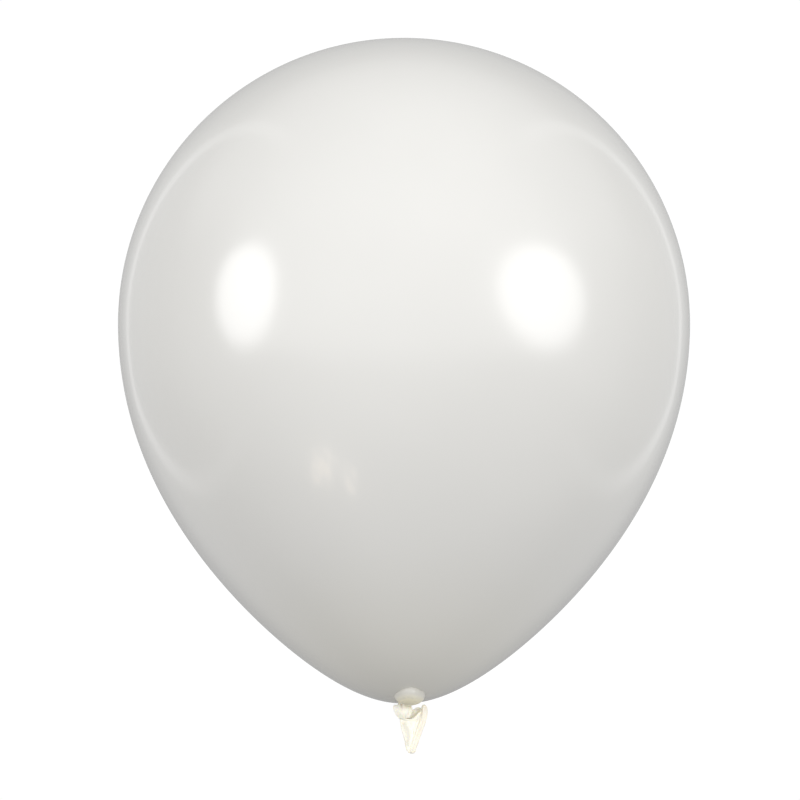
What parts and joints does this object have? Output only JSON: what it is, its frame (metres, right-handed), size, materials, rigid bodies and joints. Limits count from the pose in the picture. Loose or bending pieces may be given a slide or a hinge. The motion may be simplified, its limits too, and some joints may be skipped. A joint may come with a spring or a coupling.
{
  "type": "latex balloon",
  "caption": "Blown-up teardrop latex balloon, tied in a knot at its neck, with the flattened end of the neck and its rolled lip hanging below.",
  "frame": {"origin": "middle of the neck, between the film and the knot", "axes": "+Z from the knot up through the balloon, -Y towards the balloon's front, +X to the right seen from the front"},
  "size_m": [0.2916, 0.2916, 0.367],
  "materials": {
    "film": "glossy white latex, stretched thin and slightly see-through",
    "neck_latex": "satin cream latex, little stretched, with fine rings",
    "thick_latex": "satin cream latex, unstretched, with soft folds",
    "lip_latex": "satin cream latex, rolled into a smooth bead"
  },
  "bodies": {
    "balloon": {"envelope": "film", "neck_dome": "neck_latex"},
    "neck": {"neck_stem": "neck_latex"},
    "knot": {"knot_wrap": "thick_latex", "knot_strand": "thick_latex"},
    "tail": {"tail": "thick_latex", "rolled_lip": "lip_latex"}
  },
  "joints": [
    {"name": "neck_nod", "type": "hinge", "parent": "balloon", "child": "neck", "pos_m": [0, 0, 0], "axis": [1, 0, 0], "range_deg": [-6, 12], "stiffness_Nm_per_rad": 0.00003},
    {"name": "neck_sway", "type": "hinge", "parent": "neck", "child": "knot", "pos_m": [0, 0, 0], "axis": [0, 1, 0], "range_deg": [-10, 10], "stiffness_Nm_per_rad": 0.00003},
    {"name": "tail_flap", "type": "hinge", "parent": "knot", "child": "tail", "pos_m": [-0.0012, 0, -0.0079], "axis": [0.9011, 0, 0.4337], "range_deg": [-60, 60], "stiffness_Nm_per_rad": 0.00002}
  ]
}
